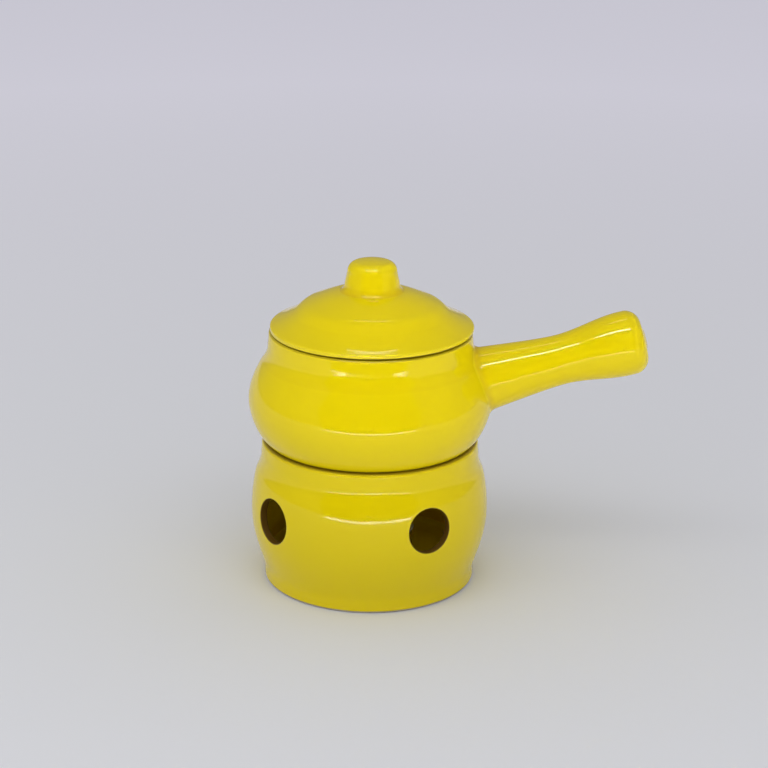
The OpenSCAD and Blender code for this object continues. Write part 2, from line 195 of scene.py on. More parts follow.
def make_camera():
    pitch, yaw, roll = CAMERA_PITCH_YAW_ROLL
    flat = cos(pitch)
    ahead = np.array([sin(yaw) * flat, cos(yaw) * flat, -sin(pitch)])
    level = np.array([cos(yaw), -sin(yaw), 0.0])
    above = np.cross(level, ahead)
    right = cos(roll) * level + sin(roll) * above
    up = -sin(roll) * level + cos(roll) * above
    lens = bpy.data.cameras.new("camera")
    lens.sensor_width = SENSOR_MM
    lens.lens = FOCAL_PX * SENSOR_MM / FRAME_PX
    lens.clip_start, lens.clip_end = 0.01, 50
    camera = add_object("camera", lens)
    stand_at(camera, CAMERA_PLACE, right, up, -ahead)
    bpy.context.scene.camera = camera


# Lines and curves, as lists of (out, up) points


def curve(a, b, c, d, steps):
    t = np.linspace(0, 1, steps + 1)[:, None]
    s = 1 - t
    a, b, c, d = (np.array(p, float) for p in (a, b, c, d))
    return [tuple(p) for p in s**3 * a + 3 * s * s * t * b + 3 * s * t * t * c + t**3 * d]


def arc(centre, r, start, end, steps):
    turns = np.radians(np.linspace(start, end, steps + 1))
    return [(centre[0] + r * cos(t), centre[1] + r * sin(t)) for t in turns]


def rounded(corner, r, start, end, steps):
    """The arc that rounds off a square corner, from one turn to another, in degrees."""
    middle = radians((start + end) / 2)
    aside, above = math.copysign(r, cos(middle)), math.copysign(r, sin(middle))
    return arc((corner[0] - aside, corner[1] - above), r, start, end, steps)


def straight(a, b, steps):
    return [tuple(p) for p in np.linspace(a, b, steps + 1)]


def heights(start, *runs):
    """Heights from the start to the end of each run, in its steps."""
    found = [start]
    for end, steps in runs:
        found += list(np.linspace(found[-1], end, steps + 1))[1:]
    return found


def joined(*lines):
    """The lines one after another, with no point twice."""
    points = []
    for line in lines:
        for p in line:
            if not points or math.dist(points[-1], p) > 1e-4:
                points.append((float(p[0]), float(p[1])))
    return points


def width_of(line):
    """A function that says how far out a rising line is at a height."""
    outs, ups = np.array(sorted(line, key=lambda p: p[1])).T
    return lambda up: np.interp(up, ups, outs)


def shoulder_side(wide, neck, high, lean, ease):
    """From a belly's widest ring in to an upright neck, with a soft crease."""
    wide, neck = np.array(wide), np.array(neck)
    leaning = np.array([lean * (wide[0] - neck[0]), -ease * (neck[1] - wide[1])])
    start = neck + CREASE * leaning
    end = neck + np.array([0, CREASE * np.linalg.norm(leaning)])
    return joined(
        curve(wide, wide + [0, high * (neck[1] - wide[1])], neck + leaning, start, SIDE_STEPS),
        curve(start, (start + 2 * neck) / 3, (end + 2 * neck) / 3, end, CREASE_STEPS),
    )


def stand_side():
    rise = BULGE_Z - FOOT_H
    low = curve(
        (FOOT_R, FOOT_H), (FOOT_R, FOOT_H + BULGE_START * rise),
        (BULGE_R, BULGE_Z - BULGE_LOW * rise), (BULGE_R, BULGE_Z), SIDE_STEPS,
    )
    neck = (NECK_R, STAND_H - NECK_H)
    return joined(low, shoulder_side((BULGE_R, BULGE_Z), neck, BULGE_HIGH, STAND_LEAN, STAND_EASE))


def pot_side():
    belly = (BELLY_R, STAND_H + BELLY_RISE)
    low = curve(
        (POT_SEAT_R, STAND_H),
        (POT_SEAT_R + BELLY_START_OUT * BELLY_RISE, STAND_H + BELLY_START_UP * BELLY_RISE),
        (BELLY_R, belly[1] - BELLY_LOW * BELLY_RISE), belly, SIDE_STEPS,
    )
    return joined(low, shoulder_side(belly, (POT_NECK_R, POT_NECK_Z), BELLY_HIGH, POT_LEAN, POT_EASE))


def handle_side():
    """Outside of the handle, as (out, along) points from inside the pot to the swelling."""
    fall = HANDLE_FLARE * (HANDLE_ROOT_R - HANDLE_WAIST_R)
    third = (SWELL_AT - WAIST_AT) / 3
    return joined(
        curve(
            (HANDLE_ROOT_R + fall, -HANDLE_ROOT_IN), (HANDLE_ROOT_R - fall, 0),
            (HANDLE_WAIST_R, WAIST_AT * 2 / 3), (HANDLE_WAIST_R, WAIST_AT), SIDE_STEPS,
        ),
        curve(
            (HANDLE_WAIST_R, WAIST_AT), (HANDLE_WAIST_R, WAIST_AT + third),
            (HANDLE_SWELL_R, SWELL_AT - third), (HANDLE_SWELL_R, SWELL_AT), SIDE_STEPS,
        ),
    )


def handle_end():
    """Outside of the handle's rounded end, in to its kiln vent."""
    edge_r, end = HANDLE_SWELL_R - HANDLE_END_E, HANDLE_LEN - HANDLE_CROWN
    vent_r, vent_z = KILN_VENT_D / 2, HANDLE_LEN - KILN_VENT_SINK
    return joined(
        rounded((HANDLE_SWELL_R, end), HANDLE_END_E, 0, 90, 12),
        curve(
            (edge_r, end), (edge_r - HANDLE_END_PULL, end),
            (vent_r + HANDLE_END_PULL, HANDLE_LEN), (vent_r + KILN_VENT_EDGE, vent_z), 6,
        ),
        rounded((vent_r, vent_z), KILN_VENT_EDGE, 90, 180, 4),
    )


def handle_hollow_end():
    hollow_e, hollow_r = HANDLE_END_E - HANDLE_WALL, HANDLE_SWELL_R - HANDLE_WALL
    vent_r, end = KILN_VENT_D / 2, HANDLE_LEN - HANDLE_CROWN - HANDLE_WALL
    return joined(
        [(vent_r, end)],
        straight((vent_r + KILN_VENT_EDGE / 2, end), (hollow_r - hollow_e, end), 3),
        rounded((hollow_r, end), hollow_e, 90, 0, 6),
    )


def lid_top():
    edge = np.array([LID_R, POT_RIM_Z + LID_EDGE_H])
    step = np.array([LID_STEP_R, POT_RIM_Z + BRIM_H])
    shoulder = np.array([DOME_R * LID_STEP_R, POT_RIM_Z + DOME_Z * LID_H])
    seat = np.array([KNOB_BASE_R + KNOB_FLARE, KNOB_Z])
    brim_way, dome_way = np.array([1, -BRIM_SLOPE]), np.array([1, -DOME_SLOPE])
    seat_way = np.array([1, -DOME_SLOPE / 2])
    step_run, dome_run = LID_STEP_R - shoulder[0], shoulder[0] - seat[0]
    return joined(
        curve(edge, edge + [0, LID_EDGE_H / 2], step + BRIM_W * BRIM_PULL * brim_way, step, LID_STEPS),
        curve(step, step - step_run / 3 * brim_way, shoulder + step_run / 2 * dome_way, shoulder, LID_STEPS),
        curve(shoulder, shoulder - dome_run / 3 * dome_way, seat + dome_run / 3 * seat_way, seat, LID_STEPS),
    )


def moved_in(line, wall):
    """The line, moved square to itself to the inside of a wall."""
    line = np.array(line)
    run = np.gradient(line, axis=0)
    run /= np.linalg.norm(run, axis=1)[:, None]
    return line + wall * np.column_stack([-run[:, 1], run[:, 0]])


def bent(a, b, c, steps):
    """Points from a to c, drawn towards b, without the first."""
    a, b, c = (np.array(p, float) for p in (a, b, c))
    shares = [i / steps for i in range(1, steps + 1)]
    return [(1 - t) ** 2 * a + 2 * t * (1 - t) * b + t * t * c for t in shares]


# Meshes


def even_turns(count):
    return [2 * pi * k / count for k in range(count)]


def add_ring(points, ring):
    """Adds a ring to the points, and says which points it is."""
    points.extend(tuple(p) for p in ring)
    return range(len(points) - len(ring), len(points))


def pairs_round(loop):
    return list(zip(loop, [*loop[1:], loop[0]]))


def skin_faces(loops):
    """Faces from each closed loop of points to the next."""
    faces = []
    for low, high in zip(loops, loops[1:]):
        faces += [(a, b, d, c) for (a, b), (c, d) in zip(pairs_round(low), pairs_round(high))]
    return faces


def turned(profile, turns, cut=()):
    """A closed turned form. The profile runs from axis to axis, and (row, column) cells in cut stay open."""
    points = [(0.0, 0.0, profile[0][1])]
    rings = [
        add_ring(points, [(out * cos(t), out * sin(t), up) for t in turns])
        for out, up in profile[1:-1]
    ]
    last = len(points)
    points.append((0.0, 0.0, profile[-1][1]))
    faces = skin_faces(rings)
    if cut:
        faces = [face for i, face in enumerate(faces) if divmod(i, len(turns)) not in cut]
    faces += [(0, b, a) for a, b in pairs_round(rings[0])]
    faces += [(last, a, b) for a, b in pairs_round(rings[-1])]
    return points, faces


def hand_made(points, phase, out_of_round=OUT_OF_ROUND):
    """Leaves a thrown form a little out of round, always inside its true size."""
    p = np.array(points, float)
    turn = np.arctan2(p[:, 1], p[:, 0])
    lean = 2 * turn + phase + p[:, 2] / OVAL_TURN_H
    share = 1 - out_of_round * (0.5 + 0.35 * np.sin(lean) + 0.15 * np.sin(1.5 * lean + 1.7 * phase))
    p[:, :2] *= share[:, None]
    return p


def bend_of_surface(mesh):
    """How sharply the surface bends at each point, per millimetre: hollows above zero, edges below."""
    count = len(mesh.vertices)
    place, normal = np.zeros(count * 3), np.zeros(count * 3)
    ends = np.zeros(len(mesh.edges) * 2, int)
    mesh.vertices.foreach_get("co", place)
    mesh.vertices.foreach_get("normal", normal)
    mesh.edges.foreach_get("vertices", ends)
    place, normal = place.reshape(-1, 3) / MM, normal.reshape(-1, 3)
    one, other = ends.reshape(-1, 2).T
    way = place[other] - place[one]
    square = np.maximum((way**2).sum(1), 1e-6)
    sharpest = np.zeros(count)
    for at, double in ((one, 2), (other, -2)):
        bend = double * (normal[at] * way).sum(1) / square
        high, low = np.zeros(count), np.zeros(count)
        np.maximum.at(high, at, bend)
        np.minimum.at(low, at, bend)
        found = np.where(high > -low, high, low)
        sharpest = np.where(np.abs(sharpest) > np.abs(found), sharpest, found)
    for _ in range(3):
        total, weight = sharpest.copy(), np.ones(count)
        for a, b in ((one, other), (other, one)):
            np.add.at(total, a, sharpest[b])
            np.add.at(weight, a, 1)
        sharpest = total / weight
    return sharpest


def add_mask(mesh, name, values):
    layer = mesh.attributes.new(name, "FLOAT", "POINT")
    layer.data.foreach_set("value", np.asarray(np.clip(values, 0, 1), np.float32))


def make_piece(name, points, faces, body, node, material, sharp=50, seam=0.0):
    mesh = bpy.data.meshes.new(name)
    mesh.from_pydata((np.array(points) * MM).tolist(), [], faces)
    mesh.validate()
    outward = bmesh.new()
    outward.from_mesh(mesh)
    bmesh.ops.recalc_face_normals(outward, faces=outward.faces)
    outward.to_mesh(mesh)
    outward.free()
    mesh.shade_smooth()
    mesh.set_sharp_from_angle(angle=radians(sharp))
    bend = bend_of_surface(mesh)
    add_mask(mesh, "edge", -bend * EDGE_GAIN - EDGE_START)
    add_mask(mesh, "hollow", bend * HOLLOW_GAIN - HOLLOW_START)
    # The seam mask carries painted shade in gaps, at the foot and in the vents
    add_mask(mesh, "seam", seam + np.zeros(len(bend)))
    piece = add_object(name, mesh, material)
    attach(piece, body)
    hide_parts(node)


def glazed(name, points, faces, body, node, glaze, seam=0.0):
    make_piece(name, points, faces, body, node, glaze, seam=seam)


# Stand


def make_stand(glaze):
    side = stand_side()
    fillet_z, neck_z = FOOT_TOP + STAND_FILLET, STAND_H - NECK_H / 2
    low, high = VENT_PATCH_Z - VENT_PATCH_H, VENT_PATCH_Z + VENT_PATCH_H
    outer = width_of([*side, (STAND_RIM_R, STAND_H - STAND_RIM_E)])
    inner_side = [(p[0] - STAND_WALL, p[1]) for p in side if p[1] >= fillet_z]
    inner = width_of([*inner_side, (STAND_MOUTH_R, STAND_H - RIM_INNER_E)])
    outer_ups = heights(FOOT_H, (low, 12), (high, VENT_CELLS), (neck_z, 18), (STAND_H - STAND_RIM_E, 4))
    inner_ups = heights(STAND_H - RIM_INNER_E, (neck_z, 5), (high, 12), (low, VENT_CELLS), (fillet_z, 8))
    ring_in_r, wall_r = FOOT_R - FOOT_RING_W, outer(fillet_z) - STAND_WALL
    profile = joined(
        straight((0, FOOT_HOLLOW), (ring_in_r, FOOT_HOLLOW), 8),
        rounded((ring_in_r, 0), RING_EDGE_E, 180, 270, 5),
        rounded((FOOT_R, 0), FOOT_EDGE, -90, 0, 8),
        [(outer(z), z) for z in outer_ups],
        rounded((STAND_RIM_R, STAND_H), STAND_RIM_E, 0, 90, 10),
        rounded((STAND_MOUTH_R, STAND_H), RIM_INNER_E, 90, 180, 6),
        [(inner(z), z) for z in inner_ups],
        rounded((wall_r, FOOT_TOP), STAND_FILLET, 0, -90, 10),
        straight((wall_r - STAND_FILLET, FOOT_TOP), (0, FOOT_TOP), 10),
    )
    rows = [p[1] for p in profile[1:-1]]
    top = rows.index(max(rows))
    outer_rows = range(near_row(rows, low, 0, top), near_row(rows, high, 0, top) + 1)
    inner_rows = range(near_row(rows, high, top, len(rows)), near_row(rows, low, top, len(rows)) + 1)
    turns, starts = stand_turns()
    cut = {
        (row, (start + c) % len(turns))
        for start in starts for c in range(VENT_CELLS) for row in (*outer_rows[:-1], *inner_rows[:-1])
    }
    points, faces = turned(profile, turns, cut)
    for vent, start in zip(VENTS, starts):
        columns = [(start + c) % len(turns) for c in range(VENT_CELLS + 1)]
        outer_loop = square_loop(outer_rows, columns, len(turns))
        inner_loop = square_loop(inner_rows[::-1], columns, len(turns))
        faces += cut_vent(points, vent, outer, inner, outer_loop, inner_loop)
    seam = stand_painted_shade(points)
    glazed("stand", hand_made(points, 0.6), faces, "stand", "burner_stand", glaze, seam)


def near_row(rows, up, start, end):
    return min(range(start, end), key=lambda i: abs(rows[i] - up))


def stand_turns():
    """Turns of the stand's columns, even across each vent, and where each vent's patch starts."""
    turns, starts = [], {}
    ordered = sorted(VENTS)
    for vent, after in zip(ordered, ordered[1:] + ordered[:1]):
        first, last = vent[0] - VENT_PATCH_TURN, vent[0] + VENT_PATCH_TURN
        following = after[0] - VENT_PATCH_TURN + (360 if after[0] < vent[0] else 0)
        starts[vent] = len(turns)
        turns += list(np.linspace(first, last, VENT_CELLS, endpoint=False))
        plain = max(4, round((following - last) / PLAIN_COLUMN_TURN))
        turns += list(np.linspace(last, following, plain, endpoint=False))
    return [radians(t) for t in turns], [starts[v] for v in VENTS]


def square_loop(rows, columns, count):
    """The points round a patch of the turned wall, from its lowest corner at the last column."""
    right = [(r, columns[-1]) for r in rows[:-1]]
    top = [(rows[-1], c) for c in columns[:0:-1]]
    left = [(r, columns[0]) for r in rows[:0:-1]]
    bottom = [(rows[0], c) for c in columns[:-1]]
    return [1 + r * count + c for r, c in right + top + left + bottom]


def cut_vent(points, vent, outer, inner, outer_loop, inner_loop):
    """Adds rings of points from the wall's outside, through the vent, to its inside. Gives their faces."""
    phase, height, diameter = vent
    turn = radians(phase)
    spins = [s - pi / 4 for s in even_turns(len(outer_loop))]
    stray = [VENT_OVAL * sin(2 * s + phase) + VENT_LOBES * sin(3 * s + 2 * phase) for s in spins]
    radii = [diameter / 2 * (1 + share) for share in stray]

    def edge_of(line, grow):
        """The vent's outline on one side of the wall, as if the vent faced along x."""
        ring = []
        for spin, radius in zip(spins, radii):
            y, z = (radius + grow) * cos(spin), height + (radius + grow) * sin(spin)
            ring.append(np.array([math.sqrt(line(z) ** 2 - y * y), y, z]))
        return ring

    def placed(p):
        x, y, z = p
        return x * cos(turn) - y * sin(turn), x * sin(turn) + y * cos(turn), z

    def spread(loop, line, grow):
        """Rings between the square patch's edge and the vent's rounded edge."""
        rings = []
        for level in VENT_SPREAD:
            ring = []
            for k, edge in zip(loop, edge_of(line, grow)):
                square = points[k]
                edge_turn = turn + math.atan2(edge[1], edge[0])
                square_turn = math.atan2(square[1], square[0])
                square_turn += 2 * pi * round((edge_turn - square_turn) / (2 * pi))
                t = square_turn + (edge_turn - square_turn) * level
                z = square[2] + (edge[2] - square[2]) * level
                ring.append((line(z) * cos(t), line(z) * sin(t), z))
            rings.append(ring)
        return rings

    lines = []
    for a, b, inner_a, inner_b in zip(
        edge_of(outer, VENT_EDGE), edge_of(outer, 0), edge_of(inner, VENT_INNER_EDGE), edge_of(inner, 0),
    ):
        c, inner_c = b - [VENT_EDGE, 0, 0], inner_b + [VENT_INNER_EDGE, 0, 0]
        bore = [c + (inner_c - c) * t for t in (0.33, 0.67)]
        lines.append([a, *bent(a, b, c, 6), *bore, inner_c, *bent(inner_c, inner_b, inner_a, 4)])
    rings = spread(outer_loop, outer, VENT_EDGE)
    rings += [[placed(p) for p in ring] for ring in zip(*lines)]
    rings += spread(inner_loop, inner, VENT_INNER_EDGE)[::-1]
    return skin_faces([outer_loop, *[add_ring(points, ring) for ring in rings], inner_loop])


def stand_painted_shade(points):
    """Painted shade on the stand, in brown: on its rim under the pot, at its foot and in its vents."""
    x, y, z = np.array(points, float).T
    rim, foot = ramp(z, STAND_H - SEAM_H, SEAM_FADE), ramp(z, FOOT_SEAM_H, -FOOT_SEAM_FADE)
    seam = SEAM_SHARE * np.maximum(rim, foot)
    for turn, height, diameter in VENTS:
        ahead_x, ahead_y = cos(radians(turn)), sin(radians(turn))
        aside = np.hypot(y * ahead_x - x * ahead_y, z - height)
        bore = ramp(aside, diameter / 2 + BORE_SEAM_OUT, -BORE_SEAM_FADE)
        seam = np.maximum(seam, bore * (x * ahead_x + y * ahead_y > 0))
    return seam


# Pot


def make_bowl(glaze):
    side = pot_side()[::5]
    inset = moved_in(side, POT_WALL)
    start = next(i for i, p in enumerate(inset) if p[1] > POT_FLOOR_Z + POT_FLOOR_EASE)
    first, then = inset[start], inset[start + 1]
    lead = (then - first) / np.linalg.norm(then - first)
    floor_r = first[0] - POT_FLOOR_BEND
    floor_pull = (floor_r + POT_FLOOR_BEND / 2, POT_FLOOR_Z)
    foot_in_r, hollow_z = POT_FOOT_R - POT_FOOT_W, POT_FOOT_Z + POT_FOOT_HOLLOW
    inside = joined(
        curve((floor_r, POT_FLOOR_Z), floor_pull, first - POT_FLOOR_BEND / 3 * lead, first, 12),
        [p for p in inset[start:] if p[1] < POT_RIM_Z - RIM_INNER_E - 0.5],
        rounded((POT_MOUTH_R, POT_RIM_Z), RIM_INNER_E, 180, 90, 6),
    )
    profile = joined(
        straight((0, hollow_z), (foot_in_r - 1, hollow_z), 8),
        rounded((foot_in_r, hollow_z), RING_EDGE_E, 90, 0, 4),
        rounded((foot_in_r, POT_FOOT_Z), RING_EDGE_E, 180, 270, 5),
        rounded((POT_FOOT_R, POT_FOOT_Z), RING_EDGE_E, -90, 0, 5),
        straight((POT_FOOT_R, POT_FOOT_Z + RING_EDGE_E), (POT_FOOT_R, STAND_H - POT_SEAT_E * 0.8), 4),
        [(POT_FOOT_R + POT_SEAT_E / 5, STAND_H - POT_SEAT_E / 5), (POT_FOOT_R + POT_SEAT_E, STAND_H)],
        side,
        straight((POT_NECK_R, side[-1][1]), (POT_RIM_R, POT_RIM_Z - RIM_OUTER_E), 5),
        rounded((POT_RIM_R, POT_RIM_Z), RIM_OUTER_E, 0, 90, 8),
        inside[::-1],
        straight((floor_r, POT_FLOOR_Z), (0, POT_FLOOR_Z), 10),
    )
    points, faces = turned(profile, even_turns(POT_COLUMNS))
    up = np.array(points)[:, 2]
    # Painted shade, in brown: where the bowl sits in the stand, and on its rim under the lid
    seat = ramp(up, STAND_H + SEAM_H, -SEAM_FADE) * ramp(up, STAND_H - SEAM_BELOW, SEAM_BELOW_FADE)
    seam = SEAM_SHARE * seat + RIM_SEAM_SHARE * ramp(up, POT_RIM_Z - RIM_SEAM_H, RIM_SEAM_FADE)
    glazed("bowl", hand_made(points, 2.1), faces, "pot", "pot_bowl", glaze, seam)


def make_handle(glaze):
    """The hollow handle, with the lute that joins it to the bowl, as lines that run round its wall."""
    rise = radians(HANDLE_RISE)
    root = np.array([BELLY_R, 0, STAND_H + HANDLE_ROOT_RISE])
    along = np.array([cos(rise), 0, sin(rise)])
    above = np.array([-sin(rise), 0, cos(rise)])
    side = width_of(handle_side())
    bowl = width_of(pot_side() + [(POT_RIM_R, POT_RIM_Z - RIM_OUTER_E)])

    def at(s, out, way):
        return root + np.multiply.outer(s, along) + np.multiply.outer(out, way)

    def meets_bowl(way, wall, sink):
        """How far along the handle a line of its wall comes out of the bowl."""
        steps = np.linspace(HANDLE_PLAIN_FROM + 1, -HANDLE_ROOT_IN, 521)
        x, y, z = at(steps, side(steps) - wall, way).T
        over = np.hypot(x, y) - (bowl(z) - sink)
        i = int(np.argmax(over <= 0))
        return float(np.interp(0, [over[i], over[i - 1]], [steps[i], steps[i - 1]]))

    def on_bowl(p):
        turn = math.atan2(p[1], p[0])
        return np.array([bowl(p[2]) * cos(turn), bowl(p[2]) * sin(turn), p[2]])

    def bowl_normal(p):
        reach = 0.2
        slope = (bowl(p[2] + reach) - bowl(p[2] - reach)) / (2 * reach)
        turn = math.atan2(p[1], p[0])
        n = np.array([cos(turn), sin(turn), -slope])
        return n / np.linalg.norm(n)

    lines, end_line = [], handle_end()[1:] + handle_hollow_end()[:-1]
    for spin in even_turns(HANDLE_COLUMNS):
        way = cos(spin) * above + np.array([0, sin(spin), 0])
        meet = meets_bowl(way, 0, 0)
        corner = at(meet, side(meet), way)
        top = at(meet + LUTE_ON_HANDLE, side(meet + LUTE_ON_HANDLE), way)
        normal = bowl_normal(corner)
        across = way - (way @ normal) * normal
        foot = on_bowl(corner + LUTE_ON_POT * across / np.linalg.norm(across))
        sunk = foot - LUTE_SINK * bowl_normal(foot)
        hollow_steps = np.linspace(SWELL_AT, meets_bowl(way, HANDLE_WALL, LUTE_SINK), 14)
        side_steps = [
            *np.linspace(meet + LUTE_ON_HANDLE, HANDLE_PLAIN_FROM, 6)[1:-1],
            *np.linspace(HANDLE_PLAIN_FROM, SWELL_AT, 34),
        ]
        lines.append([
            *[at(s, side(s) - HANDLE_WALL, way) for s in hollow_steps], sunk,
            *[top, *bent(top, on_bowl(corner), foot, 9)][::-1],
            *[at(s, side(s), way) for s in side_steps],
            *[at(s, out, way) for out, s in end_line],
        ])
    points = []
    loops = [add_ring(points, ring) for ring in zip(*lines)]
    faces = skin_faces(loops + loops[:1])
    glazed("handle", hand_made(points, 2.1), faces, "pot", "pot_handle", glaze)


# Lid


def make_lid(glaze):
    top = lid_top()
    drop = LID_WALL * math.hypot(1, BRIM_SLOPE)
    under_z = float(np.interp(LID_RING_IN_R, *np.array(top[::-1]).T)) - drop
    fillet_r, ring_z = LID_RING_IN_R - LID_RING_FILLET, POT_RIM_Z - LID_RING_DROP
    under = [(p[0], p[1] - drop) for p in top[::-1] if p[0] < fillet_r]
    profile = joined(
        straight((0, KNOB_Z - drop), (under[0][0], KNOB_Z - drop), 6),
        under,
        curve(
            (fillet_r, under_z + LID_RING_FILLET / 2), (LID_RING_IN_R, under_z),
            (LID_RING_IN_R, under_z), (LID_RING_IN_R, under_z - RING_EDGE_E), 4,
        ),
        rounded((LID_RING_IN_R, ring_z), RING_EDGE_E, 180, 270, 5),
        rounded((LID_RING_R, ring_z), RING_EDGE_E, -90, 0, 5),
        straight((LID_RING_R, ring_z + RING_EDGE_E), (LID_RING_R, POT_RIM_Z - LID_RING_CORNER), 3),
        [(LID_RING_R + LID_RING_CORNER, POT_RIM_Z)],
        rounded((LID_R, POT_RIM_Z), LID_EDGE_E, -90, 0, 6),
        top,
        straight(top[-1], (0, KNOB_Z), 6),
    )
    points, faces = turned(profile, even_turns(POT_COLUMNS))
    points = hand_made(points, 3.4)
    x, y, z = points.T
    below_edge = z < POT_RIM_Z + LID_EDGE_E + 0.1
    rim = ramp(np.hypot(x, y), LID_RING_R + LID_RIM_FROM, LID_RIM_RUN) * below_edge
    gap = LID_OFF + LID_OFF_TILT * np.cos(np.arctan2(y, x) + LID_OFF_TURN)
    points[:, 2] += rim * gap
    # Painted shade, in brown, on the lid's lower edge over the gap at the pot's rim
    seam = rim * (POT_RIM_Z + gap + LID_SEAM_H - points[:, 2]) / LID_SEAM_FADE
    points[:, 0] += LID_ASIDE
    glazed("lid", points, faces, "lid", "lid_dome", glaze, seam)


def make_knob(glaze):
    top_z = KNOB_Z + KNOB_H
    shoulder = (KNOB_TOP_R - KNOB_TOP_E, top_z - KNOB_CROWN - KNOB_TOP_E)
    flare_r = KNOB_BASE_R + KNOB_FLARE + KNOB_FLARE_OUT
    waist = (KNOB_BASE_R - KNOB_WAIST_IN, KNOB_Z + KNOB_FLARE_H + KNOB_WAIST_UP)
    lean = radians(KNOB_SHOULDER_TURN)
    brow = shoulder + KNOB_TOP_E * np.array([cos(lean), sin(lean)])
    pull = brow + KNOB_CROWN_PULL * np.array([-sin(lean), cos(lean)])
    profile = joined(
        [(0, KNOB_Z - KNOB_SINK), (KNOB_BASE_R, KNOB_Z - KNOB_SINK), (flare_r, KNOB_Z - KNOB_EDGE_SINK)],
        curve(
            (flare_r, KNOB_Z - KNOB_LIP_SINK),
            (KNOB_BASE_R + KNOB_FLARE_PULL * KNOB_FLARE, KNOB_Z + KNOB_LIP_RISE),
            (KNOB_BASE_R + 0.02, KNOB_Z + KNOB_FLARE_H / 2), waist, 14,
        ),
        straight(waist, (KNOB_TOP_R, shoulder[1]), 5),
        arc(shoulder, KNOB_TOP_E, 0, KNOB_SHOULDER_TURN, 12),
        curve(brow, pull, (KNOB_CROWN_PULL, top_z), (0, top_z), 12),
    )
    points, faces = turned(profile, even_turns(KNOB_COLUMNS))
    points = hand_made(points, 1.3, 2 * OUT_OF_ROUND)
    points[:, 0] += KNOB_ASIDE
    glazed("knob", points, faces, "lid", "lid_knob", glaze)


# Tealight


def make_cup(foil):
    """The drawn foil cup, with fine upright flutes and a rolled edge."""
    outer, base, top = CUP_D / 2, FOOT_TOP, FOOT_TOP + CUP_H
    side_r, inner_r, floor_z = outer - CUP_SIDE_IN, outer - CUP_SIDE_IN - CUP_WALL, base + CUP_WALL
    dish_z, (dish_in_r, dish_r, ring_r, ring_out_r) = base + CUP_DISH_H, [outer * v for v in CUP_DISH]
    profile = joined(
        straight((0, dish_z), (dish_in_r, dish_z), 4),
        curve((dish_in_r, dish_z), (dish_r, dish_z), (ring_r, base), (ring_out_r, base), 4),
        straight((ring_out_r, base), (outer - CUP_BASE_E - 0.5, base), 2),
        rounded((side_r, base), CUP_BASE_E, -90, 0, 6),
        straight((side_r, base + CUP_BASE_E), (side_r, top - 1.2), 16),
        arc((outer - CUP_BEAD_R, top - CUP_BEAD_R), CUP_BEAD_R, -120, 130, 10),
        straight((inner_r, top - 2 * CUP_BEAD_R), (inner_r, floor_z + CUP_BASE_E), 14),
        rounded((inner_r, floor_z), CUP_BASE_E, 0, -90, 5),
        straight((ring_out_r, floor_z), (0, floor_z), 4),
    )
    points, faces = turned(profile, even_turns(CUP_COLUMNS))
    x, y, z = np.array(points).T
    out, turn = np.hypot(x, y), np.arctan2(y, x)
    rise = ramp(z, base + CUP_FLUTE_FROM, CUP_FLUTE_FADE) * ramp(z, top - CUP_FLUTE_TO, -CUP_FLUTE_FADE)
    out = out - CUP_FLUTE_DEPTH * rise * (1 + np.cos(CUP_FLUTES * turn)) / 2
    fluted = np.column_stack([out * np.cos(turn), out * np.sin(turn), z])
    make_piece("foil_cup", fluted, faces, "tealight", "tealight_cup", foil, 40)


def make_wax(wax):
    """The wax, level but for a low rise where it wets the foil and the wick."""
    outer, level = CUP_IN_R - WAX_GAP, WAX_Z - WAX_SUNK
    wick_r, wick_z = WICK_D / 2 + 0.05, WAX_Z - WAX_WETTING
    wet_r, level_r, peak = wick_r + WAX_WICK_RISE_W, outer - WAX_RISE_W, WAX_Z + WAX_WICK_RISE
    profile = joined(
        straight((0, WAX_LOW_Z), (outer - WAX_CORNER, WAX_LOW_Z), 4),
        rounded((outer, WAX_LOW_Z), WAX_CORNER, -90, 0, 5),
        straight((outer, WAX_LOW_Z + WAX_CORNER), (outer, WAX_Z + WAX_WETTING), 5),
        curve(
            (outer, WAX_Z + WAX_WETTING), (outer - 0.5, WAX_Z - 0.35),
            (outer - 1.4, level), (level_r, level), 8,
        ),
        curve((level_r, level), (10, level), (5, WAX_Z - 0.15), (wet_r, wick_z), 10),
        curve((wet_r, wick_z), (wick_r + 0.7, wick_z), (wick_r + 0.2, WAX_Z), (wick_r - 0.5, peak), 6),
        [(0, peak)],
    )
    points, faces = turned(profile, even_turns(WAX_COLUMNS))
    make_piece("wax_fill", points, faces, "tealight", "tealight_wax", wax)


def make_wick(cotton):
    """The wick: three strands wound round one another, bent a little above the wax."""
    low, high = WAX_LOW_Z, WAX_Z + WICK_OUT
    strand_r, rings = WICK_D * STRAND, 110
    reach = WICK_D / 2 - strand_r - 0.02
    points, faces = [], []
    for strand in range(3):
        loops = []
        for i in range(rings + 1):
            share = i / rings
            up = low + (high - low) * share
            turn = 2 * pi * (strand / 3 + up / WICK_PITCH)
            above_wax = max(0.0, (up - WAX_Z) / WICK_OUT)
            x = reach * cos(turn) + WICK_LEAN[0] * above_wax**2
            y = reach * sin(turn) + WICK_LEAN[1] * above_wax**2
            size = strand_r * (1 + STRAND_LUMP * sin(share * STRAND_LUMPS + strand))
            size *= STRAND_TAPER if i in (0, rings) else 1
            spins = even_turns(STRAND_COLUMNS)
            ring = [(x + size * cos(s), y + size * sin(s), up) for s in spins]
            loops.append(add_ring(points, ring))
        faces += skin_faces(loops)
        for loop in (loops[0], loops[-1]):
            points.append(tuple(np.mean([points[i] for i in loop], axis=0)))
            faces += [(a, b, len(points) - 1) for a, b in pairs_round(loop)]
    make_piece("braided_wick", points, faces, "tealight", "tealight_wick", cotton, 80)


